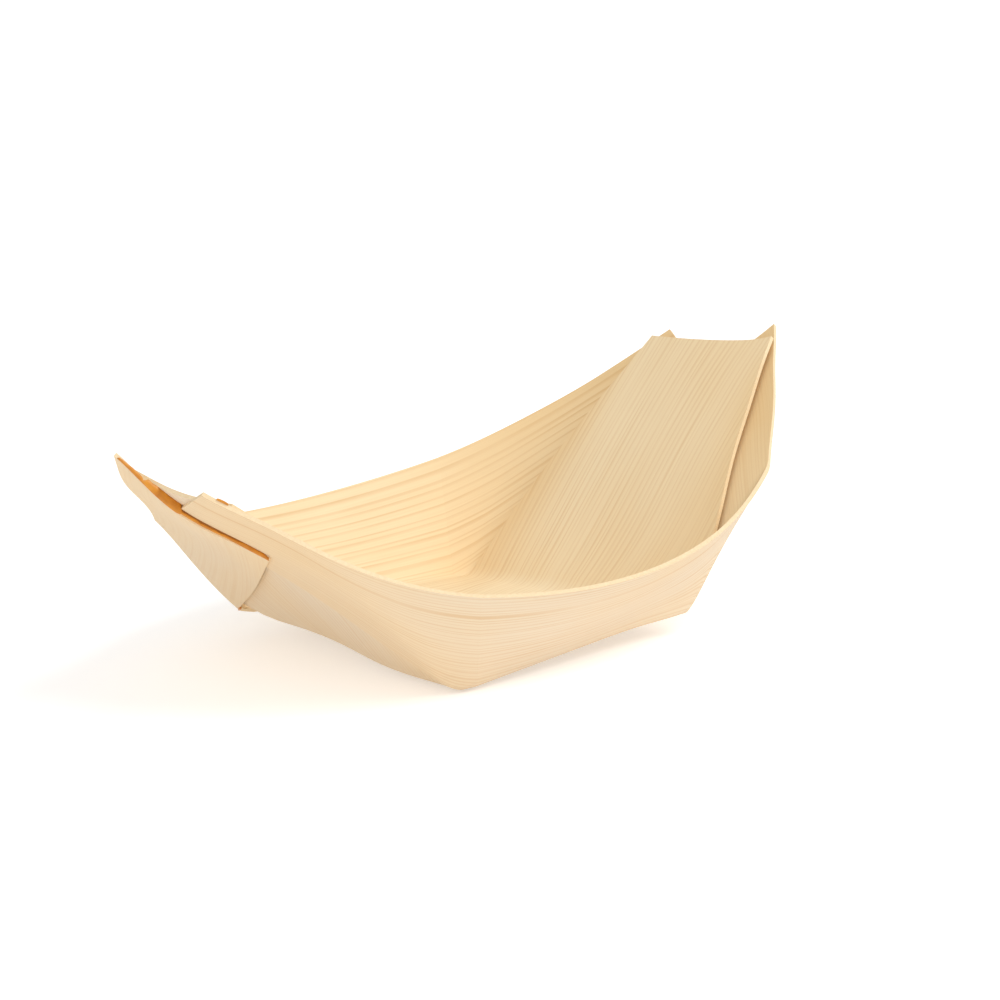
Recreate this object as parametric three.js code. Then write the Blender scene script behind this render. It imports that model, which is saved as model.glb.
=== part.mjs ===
import * as THREE from 'three';

// Snack boat folded from one thin pine veneer blank, with the grain along its length.
// Two slits at each end of the blank free a middle tongue and two side strips.
// The tongues bend up as the end walls. The strips wrap round the outside of the tongues,
// one over the other, and glue holds them. The blank is parted here along its bends.
// The rear half is the front half turned by 180 degrees about Z,
// but for the tops of the tongues and the uneven pulls of the folding.
// Sizes are in millimetres: X along the grain, Y to the rear, +Z up,
// with the origin at the middle of the underside of the floor.

// Veneer and clearances
const VENEER = 0.45;
const GAP = 0.3;

// Whole boat: between the outer tips, over the rims amidships, and up to the outer tips
const LENGTH = 85;
const WIDTH = 55.6;
const HEIGHT = 27.7;
const RIM_HEIGHT = 10.7;

// Floor: two opposite corners rest on the table and the other two are sprung up by the folding
const RESTING_CORNER_X = 17.2;
const RESTING_CORNER_Y = 17.5;
const SPRUNG_CORNER_X = 15.1;
const SPRUNG_CORNER_Y = 19.8;
const CORNER_LIFT = 2.7;
const FLAT_MIDDLE_SHARE = 0.35;
const FLOOR_BEND = 0.9;

// Slanted end: where its plane meets the table beside the resting corner,
// and how fast the veneer settles onto the plane from a foot that stands off it
const END_FOOT_X = 15.66;
const END_FOOT_Y = 16.62;
const SETTLING_POWER = 3;

// Tongues: where they leave the floor, their top edges, and the slack in a slit edge
const TONGUE_BEND = 1.6;
const TONGUE_CORNER_INSET = 0.9;
const RIGHT_TONGUE_SETBACK = 2.9;
const LEFT_TONGUE_SETBACK = 3.9;
const TONGUE_TOP_WIDTH = 17;
const TONGUE_TOP_DIP = 0.2;
const TONGUE_BOW = 2.6;

// Outer wrap: tip to tip spread, crease at the rim, the inner corner of its end edge,
// how far that edge stands off in its middle, and how fast this fades towards the crease
const OUTER_TIP_SPREAD = 13.8;
const CREASE_SETBACK = 13.8;
const CREASE_SPREAD = 39.4;
const CREASE_LAP = 1.6;
const CREASE_ROUNDING = 0.6;
const OUTER_END_SETBACK = 11.7;
const OUTER_END_REACH = 4;
const OUTER_EDGE_LIFT = 0.3;
const OUTER_LIFT_POWER = 3;

// Inner wrap: its tip, the wide bend at the rim and at the floor, and the corner of its end edge
const INNER_TIP_SETBACK = 1.6;
const INNER_TIP_SPREAD = 13.8;
const BEND_SETBACK = 12;
const BEND_SPREAD = 41;
const BEND_LEG_RIM = 10.5;
const BEND_LEG_FLOOR = 2.6;
const INNER_END_SETBACK = 10.3;
const INNER_END_REACH = 9.5;

// Uneven pulls of the hand folding, each fading over its reach:
// left crease drawn in at the rim and out at its foot, left inner tip drawn out, left end bulged,
// left foot pushed out, left outer tip drawn in, right outer tip and right rim drawn out
const CREASE_PULL = 1.45;
const CREASE_PULL_REACH = 12;
const CREASE_FOOT_PULL = 0.35;
const CREASE_FOOT_REACH = 8;
const INNER_TIP_PULL = 0.5;
const INNER_TIP_DROP = 0.4;
const INNER_TIP_REACH = 7;
const END_BULGE = 1.2;
const END_BULGE_REACH = 9;
const END_BULGE_SHARE = 0.43;
const FOOT_PULL = 0.7;
const FOOT_DROP = 0.3;
const FOOT_PULL_REACH = 9;
const FOOT_PULL_SHARE = 0.65;
const LEFT_TIP_PULL = 0.3;
const LEFT_TIP_LIFT = 0.3;
const LEFT_TIP_REACH = 5;
const RIGHT_TIP_PULL = 0.4;
const RIGHT_TIP_REACH = 6;
const RIM_PULL = 0.4;
const RIM_PULL_REACH = 8;

// Glue squeezed out of the laps: sizes, the taper of a bead's ends, and the swell of a spot
const GLUE_CLEARANCE = 0.12;
const SEAM_GLUE_WIDTH = 1;
const SEAM_GLUE_DEPTH = 0.9;
const LAP_GLUE_WIDTH = 0.4;
const LAP_GLUE_DEPTH = 0.45;
const SLIT_GLUE_LENGTH = 1.4;
const CORNER_GLUE_LENGTH = 2.4;
const GLUE_TAPER = 0.6;
const GLUE_SPOT_SWELL = 1.6;

// Seam glue: shares of the end edge where it starts and stops,
// and shares of its bridge to the tongue where it is swelling, full and thinned again
const SEAM_START_SHARE = 0.02;
const SEAM_STOP_SHARE = 0.98;
const BRIDGE_SWELLING_SHARE = 0.3;
const BRIDGE_FULL_SHARE = 0.75;
const BRIDGE_THINNED_SHARE = 0.9;

// Six-sided section of a glue bead, as shares of its width and depth
const BEAD_ACROSS = [0, 0.25, 0.75, 1, 0.75, 0.25];
const BEAD_DOWN = [0.5, 0, 0, 0.5, 1, 1];

// Facets along the bends and panels
const ARC_STEPS = 6;
const LEG_STEPS = 5;
const WALL_STEPS = 22;
const ACROSS_STEPS = 8;
const FLOOR_STEPS = 8;

// Finishes
const PINE_COLOUR = 0xf0d6ac;
const PINE_ROUGHNESS = 0.7;
const GLUE_COLOUR = 0xd4851e;
const GLUE_ROUGHNESS = 0.3;

// Rounds of the search for the line where a slanted layer meets the curled floor
const FOOT_SEARCH_ROUNDS = 12;

const LAYER_PITCH = VENEER + GAP;

// Stations of a spot of glue: share of its length, width and depth
const GLUE_SPOT = [
  [0, LAP_GLUE_WIDTH * GLUE_TAPER, LAP_GLUE_DEPTH * GLUE_TAPER],
  [0.5, LAP_GLUE_WIDTH * GLUE_SPOT_SWELL, LAP_GLUE_DEPTH],
  [1, LAP_GLUE_WIDTH * GLUE_TAPER, LAP_GLUE_DEPTH * GLUE_TAPER],
];

const point = (x, y, z) => new THREE.Vector3(x, y, z);
const mix = (a, b, t) => new THREE.Vector3().lerpVectors(a, b, t);
const halfTurn = (p) => point(-p.x, -p.y, p.z);
const share = (value, low, high) => THREE.MathUtils.clamp((value - low) / (high - low), 0, 1);
const steps = (count, make) => Array.from({ length: count + 1 }, (_, i) => make(i / count));

// Floor, as corners of the front edge and a height: the middle lies flat,
// and the straight edges twist up towards the sprung corners.
const restingCorner = new THREE.Vector2(-RESTING_CORNER_X, -RESTING_CORNER_Y);
const sprungCorner = new THREE.Vector2(SPRUNG_CORNER_X, -SPRUNG_CORNER_Y);

function floorHeight(x, y) {
  const halfLength = (RESTING_CORNER_X + SPRUNG_CORNER_X) / 2;
  const along = share(x, -halfLength, halfLength);
  const across = share(y, frontEdgeY(x), -frontEdgeY(-x));
  const out = Math.max(Math.abs(2 * along - 1), Math.abs(2 * across - 1));
  const twist = along + across - 2 * along * across;
  return CORNER_LIFT * twist * THREE.MathUtils.smoothstep(out, FLAT_MIDDLE_SHARE, 1);
}

function onFloor(x, y) {
  return point(x, y, floorHeight(x, y));
}

function frontEdgeY(x) {
  const along = (x - restingCorner.x) / (sprungCorner.x - restingCorner.x);
  return THREE.MathUtils.lerp(restingCorner.y, sprungCorner.y, along);
}

function floorFrontY(x) {
  return frontEdgeY(x) + FLOOR_BEND + GAP;
}

function floorRearY(x) {
  return -floorFrontY(-x);
}

// Right end: one slanted plane for the outer face of the outer wrap.
// Level 1 is the inner wrap and level 2 the tongue, each a layer further in.
const creaseFoot = onFloor(sprungCorner.x, sprungCorner.y);
const outerTip = point(LENGTH / 2, -OUTER_TIP_SPREAD / 2, HEIGHT);
const endPlane = new THREE.Plane().setFromCoplanarPoints(
  creaseFoot,
  point(END_FOOT_X, END_FOOT_Y, 0),
  outerTip,
);
if (endPlane.normal.x < 0) endPlane.negate();
const endNormal = endPlane.normal;

function onEnd(x, y, level) {
  const inward = -level * LAYER_PITCH;
  const z = (inward - endPlane.constant - endNormal.x * x - endNormal.y * y) / endNormal.z;
  return point(x, y, z);
}

// Plan position where a layer of the right end leaves the floor
function endFootX(y, level) {
  let x = sprungCorner.x;
  const rise = -endNormal.x / endNormal.z;
  for (let i = 0; i < FOOT_SEARCH_ROUNDS; i += 1) {
    x -= (onEnd(x, y, level).z - floorHeight(x, y)) / rise;
  }
  return x;
}

// Corners of the wraps. The inner wrap of the front wall goes round the left end.
const tipX = LENGTH / 2;
const creaseTop = onEnd(tipX - CREASE_SETBACK, -CREASE_SPREAD / 2, 0);
const outerEnd = onEnd(tipX - OUTER_END_SETBACK, OUTER_END_REACH, 0);
const innerTip = onEnd(tipX - INNER_TIP_SETBACK, INNER_TIP_SPREAD / 2, 1);
const innerEnd = onEnd(tipX - INNER_END_SETBACK, -INNER_END_REACH, 1);
const bendTop = onEnd(tipX - BEND_SETBACK, BEND_SPREAD / 2, 1);
const bendFoot = onFloor(-restingCorner.x, -restingCorner.y);

// Front wall: the rim is one even curve from the crease, over the middle, to the wide bend
const rimMiddle = point(0, -WIDTH / 2, RIM_HEIGHT);
const rimBend = halfTurn(bendTop);
const footBend = halfTurn(bendFoot);

function rimAt(s) {
  return new THREE.Vector3()
    .addScaledVector(creaseTop, (1 - s) * (1 - 2 * s))
    .addScaledVector(rimMiddle, 4 * s * (1 - s))
    .addScaledVector(rimBend, s * (2 * s - 1));
}

function footAt(s) {
  const x = THREE.MathUtils.lerp(creaseFoot.x, footBend.x, s);
  return onFloor(x, frontEdgeY(x));
}

const rimLength = rimAt(0).distanceTo(rimMiddle) + rimMiddle.distanceTo(rimBend);
const footLength = creaseFoot.distanceTo(footBend);

// A path from a to b round the corner c: straight, a parabolic arc, and straight again.
// The arc takes up a share of the leg from a to c, and as much of the other leg.
function bentPath(a, c, b, rounding) {
  const start = mix(c, a, rounding);
  const end = b.clone().sub(c).setLength(start.distanceTo(c)).add(c);
  const arc = new THREE.QuadraticBezierCurve3(start, c, end).getPoints(ARC_STEPS);
  const leg = steps(LEG_STEPS, (t) => mix(end, b, t)).slice(1);
  return rounding < 1 ? [a, ...arc, ...leg] : [...arc, ...leg];
}

// A path up an end from a foot that stands off by some distance, settled onto the plane of the end
function settled(path, foot, top, normal, off) {
  const line = top.clone().sub(foot);
  path.forEach((p) => {
    const left = 1 - share(p.clone().sub(foot).dot(line), 0, line.lengthSq());
    p.addScaledVector(normal, off * (left ** SETTLING_POWER - left));
  });
  return path;
}

function offEnd(p, level) {
  return endPlane.distanceToPoint(p) + level * LAYER_PITCH;
}

function sheetNormal(grid, i, j) {
  const rows = grid.length - 1;
  const columns = grid[0].length - 1;
  const along = grid[Math.min(i + 1, rows)][j].clone().sub(grid[Math.max(i - 1, 0)][j]);
  const across = grid[i][Math.min(j + 1, columns)].clone().sub(grid[i][Math.max(j - 1, 0)]);
  return along.cross(across).normalize();
}

// Outline of a grid of points, as indices in order round it
function outline(rows, columns) {
  const at = (i, j) => i * columns + j;
  const loop = [];
  for (let i = 0; i < rows - 1; i += 1) loop.push(at(i, 0));
  for (let j = 0; j < columns - 1; j += 1) loop.push(at(rows - 1, j));
  for (let i = rows - 1; i > 0; i -= 1) loop.push(at(i, columns - 1));
  for (let j = columns - 1; j > 0; j -= 1) loop.push(at(0, j));
  return loop;
}

// A veneer panel: a grid of points on its outer face, given a thickness towards the inside.
// Rows and columns run so that their cross product points out of the boat.
function veneerSheet(grid) {
  const rows = grid.length;
  const columns = grid[0].length;
  const outer = grid.flat();
  const inner = outer.map((p, k) => {
    const normal = sheetNormal(grid, Math.floor(k / columns), k % columns);
    return p.clone().addScaledVector(normal, -VENEER);
  });
  const faces = [];
  const depth = outer.length;
  for (let i = 0; i < rows - 1; i += 1) {
    for (let j = 0; j < columns - 1; j += 1) {
      const a = i * columns + j;
      const b = a + columns;
      faces.push(a, b, b + 1, a, b + 1, a + 1);
      faces.push(a + depth, b + 1 + depth, b + depth, a + depth, a + 1 + depth, b + 1 + depth);
    }
  }
  const loop = outline(rows, columns);
  loop.forEach((from, k) => {
    const to = loop[(k + 1) % loop.length];
    faces.push(to, from, from + depth, to, from + depth, to + depth);
  });
  return closedGeometry([...outer, ...inner], faces);
}

function closedGeometry(points, faces) {
  const geometry = new THREE.BufferGeometry();
  const places = points.flatMap((p) => p.toArray());
  geometry.setAttribute('position', new THREE.Float32BufferAttribute(places, 3));
  geometry.setIndex(faces);
  geometry.computeVertexNormals();
  return geometry;
}

function floorPanel() {
  return veneerSheet(steps(FLOOR_STEPS, (v) => steps(FLOOR_STEPS, (u) => {
    const x = THREE.MathUtils.lerp(GAP - tongueRootX(1 - v), tongueRootX(v) - GAP, u);
    return onFloor(x, THREE.MathUtils.lerp(floorFrontY(x), floorRearY(x), v));
  })));
}

// Wall ruling from under the floor edge, round the floor bend, and up to the rim
function wallRuling(footShare, rimShare) {
  const foot = footAt(footShare);
  const under = onFloor(foot.x, foot.y + FLOOR_BEND);
  return bentPath(under, foot, rimAt(rimShare), 1);
}

function sideWall() {
  const footFrom = (CREASE_LAP + GAP) / footLength;
  const footTo = 1 - (BEND_LEG_FLOOR + GAP) / footLength;
  const rimFrom = (CREASE_LAP + GAP) / rimLength;
  const rimTo = 1 - (BEND_LEG_RIM + GAP) / rimLength;
  return veneerSheet(steps(WALL_STEPS, (t) => wallRuling(
    THREE.MathUtils.lerp(footFrom, footTo, t),
    THREE.MathUtils.lerp(rimFrom, rimTo, t),
  )).reverse());
}

// A wrap leaves the wall on a ruling, turns at a crease or a wide bend, and ends at its end edge.
// Each row runs along the grain, from the slit edge (0) to the rim (1).
function wrapSheet(start, crease, end, rounding) {
  return steps(ACROSS_STEPS, (w) => bentPath(
    mix(start[0], start[1], w),
    mix(crease[0], crease[1], w),
    mix(end[0], end[1], w),
    rounding,
  ));
}

function outerWrap() {
  const start = [footAt(CREASE_LAP / footLength), rimAt(CREASE_LAP / rimLength)];
  const grid = wrapSheet(start, [creaseFoot, creaseTop], [outerEnd, outerTip], CREASE_ROUNDING);
  grid.forEach((row, i) => row.forEach((p, j) => {
    const nearEnd = (j / (row.length - 1)) ** OUTER_LIFT_POWER;
    p.addScaledVector(endNormal, nearEnd * edgeLift(i / ACROSS_STEPS));
  }));
  return veneerSheet(grid.reverse());
}

// How far the outer wrap's end edge stands off, at a share of its length
function edgeLift(t) {
  return OUTER_EDGE_LIFT * 4 * t * (1 - t);
}

function innerWrap() {
  const start = [footAt(1 - BEND_LEG_FLOOR / footLength), rimAt(1 - BEND_LEG_RIM / rimLength)];
  const end = [halfTurn(innerEnd), halfTurn(innerTip)];
  const grid = wrapSheet(start, [footBend, rimBend], end, 1);
  return veneerSheet(grid.map((row, i) => {
    const foot = mix(footBend, rimBend, i / ACROSS_STEPS);
    return settled(row, foot, row.at(-1), halfTurn(endNormal), offEnd(halfTurn(foot), 1));
  }));
}

// Right tongue: from its root on the floor, round its bend, up the inside of the end
const tongueFrontX = endFootX(floorFrontY(sprungCorner.x), 2);
const tongueRearX = -restingCorner.x - TONGUE_CORNER_INSET;
const tongueFrontFoot = onFloor(tongueFrontX, floorFrontY(tongueFrontX));
const tongueRearFoot = onFloor(tongueRearX, floorRearY(tongueRearX));

// Root of the tongue on the floor, at a share from the front to the rear
function tongueRootX(v) {
  return THREE.MathUtils.lerp(tongueFrontX, tongueRearX, v) - TONGUE_BEND;
}

// Slack of the slit edge towards the front: none at the foot and the top, most a quarter of the way up
function slitSlack(rise) {
  const most = (1 / 4) * (3 / 4) ** 3;
  return TONGUE_BOW * rise * (1 - rise) ** 3 / most;
}

function endTongue(setback) {
  const topX = tipX - setback;
  const topFront = onEnd(topX, -TONGUE_TOP_WIDTH / 2, 2);
  const topRear = onEnd(topX, TONGUE_TOP_WIDTH / 2, 2);
  const downSlope = mix(tongueFrontFoot, tongueRearFoot, 0.5).sub(mix(topFront, topRear, 0.5)).normalize();
  const toFront = topFront.clone().sub(topRear).normalize();
  return veneerSheet(steps(ACROSS_STEPS, (v) => {
    const rootX = tongueRootX(1 - v);
    const root = onFloor(rootX, THREE.MathUtils.lerp(floorRearY(rootX), floorFrontY(rootX), v));
    const line = mix(tongueRearFoot, tongueFrontFoot, v);
    const foot = onFloor(line.x, line.y);
    const dip = TONGUE_TOP_DIP * 4 * v * (1 - v);
    const top = mix(topRear, topFront, v).addScaledVector(downSlope, dip);
    const path = settled(bentPath(root, foot, top, 1), foot, top, endNormal, offEnd(foot, 2));
    path.forEach((p) => {
      const rise = share(p.z, CORNER_LIFT, top.z);
      p.addScaledVector(toFront, slitSlack(rise) * v * v);
    });
    return path;
  }).reverse());
}

// A bead of glue on the right end: six-sided rings along a line, closed at both ends.
// Each station gives a share of the line, the bead's width and its depth under the outer wrap's face.
function glueBead(from, to, away, stations) {
  const rings = stations.map(([place, width, depth]) => {
    const side = mix(from, to, place)
      .addScaledVector(away, GLUE_CLEARANCE)
      .addScaledVector(endNormal, -GLUE_CLEARANCE);
    return BEAD_ACROSS.map((across, k) => side.clone()
      .addScaledVector(away, across * width)
      .addScaledVector(endNormal, -BEAD_DOWN[k] * depth));
  });
  const sides = rings[0].length;
  const last = (rings.length - 1) * sides;
  const faces = [];
  for (let i = 0; i < rings.length - 1; i += 1) {
    for (let k = 0; k < sides; k += 1) {
      const a = i * sides + k;
      const b = i * sides + ((k + 1) % sides);
      faces.push(a, b, b + sides, a, b + sides, a + sides);
    }
  }
  for (let k = 1; k < sides - 1; k += 1) {
    faces.push(0, k + 1, k);
    faces.push(last, last + k, last + k + 1);
  }
  const geometry = closedGeometry(rings.flat(), faces);
  const frame = new THREE.Vector3().subVectors(to, from).cross(away);
  if (frame.dot(endNormal) > 0) geometry.index.array.reverse();
  return geometry;
}

function awayFrom(from, to, inside) {
  const line = to.clone().sub(from).normalize();
  const offset = from.clone().sub(inside);
  return offset.addScaledVector(line, -offset.dot(line)).normalize();
}

// Along the end edge of the outer wrap: full where it bridges to the tongue, thin on the inner wrap
function seamGlue() {
  const lap = seamLapShare();
  const stations = [
    [SEAM_START_SHARE, LAP_GLUE_WIDTH * GLUE_TAPER, LAP_GLUE_DEPTH],
    [lap * BRIDGE_SWELLING_SHARE, SEAM_GLUE_WIDTH * GLUE_TAPER, SEAM_GLUE_DEPTH],
    [lap * BRIDGE_FULL_SHARE, SEAM_GLUE_WIDTH, SEAM_GLUE_DEPTH],
    [lap * BRIDGE_THINNED_SHARE, LAP_GLUE_WIDTH, LAP_GLUE_DEPTH],
    [SEAM_STOP_SHARE, LAP_GLUE_WIDTH * GLUE_TAPER, LAP_GLUE_DEPTH * GLUE_TAPER],
  ];
  return glueBead(outerTip, outerEnd, awayFrom(outerTip, outerEnd, creaseTop), stations);
}

// Share of the outer wrap's end edge at which the end edge of the inner wrap passes under it
function seamLapShare() {
  const edge = outerEnd.clone().sub(outerTip);
  const under = innerEnd.clone().sub(innerTip);
  const across = under.clone().cross(endNormal);
  return innerTip.clone().sub(outerTip).dot(across) / edge.dot(across);
}

// At the foot of the outer wrap's slit edge
function slitGlue() {
  const from = mix(creaseFoot, outerEnd, CREASE_LAP / creaseFoot.distanceTo(outerEnd));
  const to = outerEnd.clone().sub(creaseFoot).setLength(SLIT_GLUE_LENGTH).add(from);
  return glueBead(from, to, awayFrom(from, to, creaseTop), GLUE_SPOT);
}

// On the corner of the tongue that shows past the rim of the inner wrap
function cornerGlue() {
  const rim = innerTip.clone().sub(bendTop).normalize();
  const to = innerTip.clone().addScaledVector(rim, -INNER_TIP_SETBACK);
  const from = to.clone().addScaledVector(rim, -CORNER_GLUE_LENGTH);
  return glueBead(from, to, awayFrom(from, to, innerEnd), GLUE_SPOT);
}

function finish(color, roughness) {
  return new THREE.MeshStandardMaterial({ color, roughness, metalness: 0 });
}

function pine(name, geometry) {
  const mesh = new THREE.Mesh(geometry, finish(PINE_COLOUR, PINE_ROUGHNESS));
  mesh.name = name;
  return mesh;
}

function glue(name, geometry) {
  const mesh = new THREE.Mesh(geometry, finish(GLUE_COLOUR, GLUE_ROUGHNESS));
  mesh.name = name;
  return mesh;
}

// Where the hand folding pulled the boat out of true: a place, a pull and its reach
const bulge = mix(outerTip, outerEnd, END_BULGE_SHARE);
const pushedFoot = mix(creaseFoot, bendFoot, FOOT_PULL_SHARE);
const pulls = [
  [halfTurn(creaseTop), point(CREASE_PULL, -CREASE_PULL, 0), CREASE_PULL_REACH],
  [halfTurn(creaseFoot), point(-CREASE_FOOT_PULL, CREASE_FOOT_PULL, 0), CREASE_FOOT_REACH],
  [halfTurn(innerTip), point(-INNER_TIP_PULL, INNER_TIP_PULL, -INNER_TIP_DROP), INNER_TIP_REACH],
  [halfTurn(bulge), halfTurn(endNormal).multiplyScalar(END_BULGE), END_BULGE_REACH],
  [halfTurn(pushedFoot), point(-FOOT_PULL, 0, -FOOT_DROP), FOOT_PULL_REACH],
  [halfTurn(outerTip), point(LEFT_TIP_PULL, -LEFT_TIP_PULL, LEFT_TIP_LIFT), LEFT_TIP_REACH],
  [outerTip, point(RIGHT_TIP_PULL, -RIGHT_TIP_PULL, 0), RIGHT_TIP_REACH],
  [mix(creaseTop, outerTip, 0.5), point(RIM_PULL, -RIM_PULL, 0), RIM_PULL_REACH],
];

function handFolded(geometry) {
  const places = geometry.attributes.position;
  for (let i = 0; i < places.count; i += 1) {
    const from = new THREE.Vector3().fromBufferAttribute(places, i);
    const to = from.clone();
    pulls.forEach(([centre, pull, reach]) => {
      to.addScaledVector(pull, Math.exp(-((from.distanceTo(centre) / reach) ** 2)));
    });
    places.setXYZ(i, to.x, to.y, Math.max(to.z, 0));
  }
  geometry.computeVertexNormals();
  return geometry;
}

// The pieces of one half: a side wall with its two wraps, and the tongue and glue of one end.
// The rear half is the front half turned about Z.
function boatHalf(wall, end, otherEnd, setback, turn) {
  const placed = (geometry) => handFolded(geometry.rotateZ(turn));
  return [
    pine(`${wall}_side_wall`, placed(sideWall())),
    pine(`${end}_outer_wrap`, placed(outerWrap())),
    pine(`${otherEnd}_inner_wrap`, placed(innerWrap())),
    pine(`${end}_end_tongue`, placed(endTongue(setback))),
    glue(`${end}_seam_glue`, placed(seamGlue())),
    glue(`${end}_slit_glue`, placed(slitGlue())),
    glue(`${end}_corner_glue`, placed(cornerGlue())),
  ];
}

const boat = new THREE.Group();
boat.add(pine('floor_panel', handFolded(floorPanel())));
boat.add(...boatHalf('front', 'right', 'left', RIGHT_TONGUE_SETBACK, 0));
boat.add(...boatHalf('rear', 'left', 'right', LEFT_TONGUE_SETBACK, Math.PI));

export default boat;
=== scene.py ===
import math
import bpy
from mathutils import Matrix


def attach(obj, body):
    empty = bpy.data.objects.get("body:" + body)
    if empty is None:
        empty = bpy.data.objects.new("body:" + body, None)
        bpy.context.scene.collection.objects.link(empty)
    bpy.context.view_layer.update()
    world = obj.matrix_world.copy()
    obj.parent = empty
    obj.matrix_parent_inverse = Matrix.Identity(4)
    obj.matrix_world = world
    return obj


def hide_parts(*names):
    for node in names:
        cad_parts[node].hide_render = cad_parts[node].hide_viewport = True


bl_info = {
    "name": "Pine Snack Boat",
    "version": (1, 0, 0),
    "blender": (4, 5, 0),
    "location": "3D View > Sidebar > Snack Boat",
    "description": "Folds a snack boat from thin pine veneer and sets it on a pale table",
    "category": "Object",
}

import bpy
from bpy.props import FloatProperty, FloatVectorProperty, PointerProperty
from mathutils import Matrix, Vector

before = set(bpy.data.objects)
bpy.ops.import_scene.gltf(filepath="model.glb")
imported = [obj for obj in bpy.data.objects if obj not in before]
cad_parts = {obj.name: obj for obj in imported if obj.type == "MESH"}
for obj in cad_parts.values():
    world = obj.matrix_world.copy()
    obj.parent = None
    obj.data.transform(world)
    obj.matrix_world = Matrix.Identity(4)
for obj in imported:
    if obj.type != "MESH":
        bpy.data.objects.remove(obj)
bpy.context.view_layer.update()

MM = 0.001


def linear(code):
    """Turns an sRGB hex colour into linear RGBA."""
    channels = [int(code[i:i + 2], 16) / 255 for i in (1, 3, 5)]
    return [c / 12.92 if c <= 0.04045 else ((c + 0.055) / 1.055) ** 2.4 for c in channels] + [1.0]


def length(name, description, mm):
    """A length setting, given in millimetres."""
    return FloatProperty(name=name, description=description, default=mm * MM, unit="LENGTH", precision=5)


def share(name, description, default):
    """A setting that is a plain share or factor."""
    return FloatProperty(name=name, description=description, default=default)


def colour(name, description, code):
    """A colour setting, given as an sRGB hex value."""
    return FloatVectorProperty(
        name=name, description=description, default=linear(code), size=4, min=0, max=1, subtype="COLOR")


def angle(name, description, degrees):
    """An angle setting, given in degrees."""
    return FloatProperty(name=name, description=description, default=math.radians(degrees), subtype="ANGLE")


def power(name, description, watts):
    """A lamp's power setting, given in watts."""
    return FloatProperty(name=name, description=description, default=watts, unit="POWER")


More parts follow.
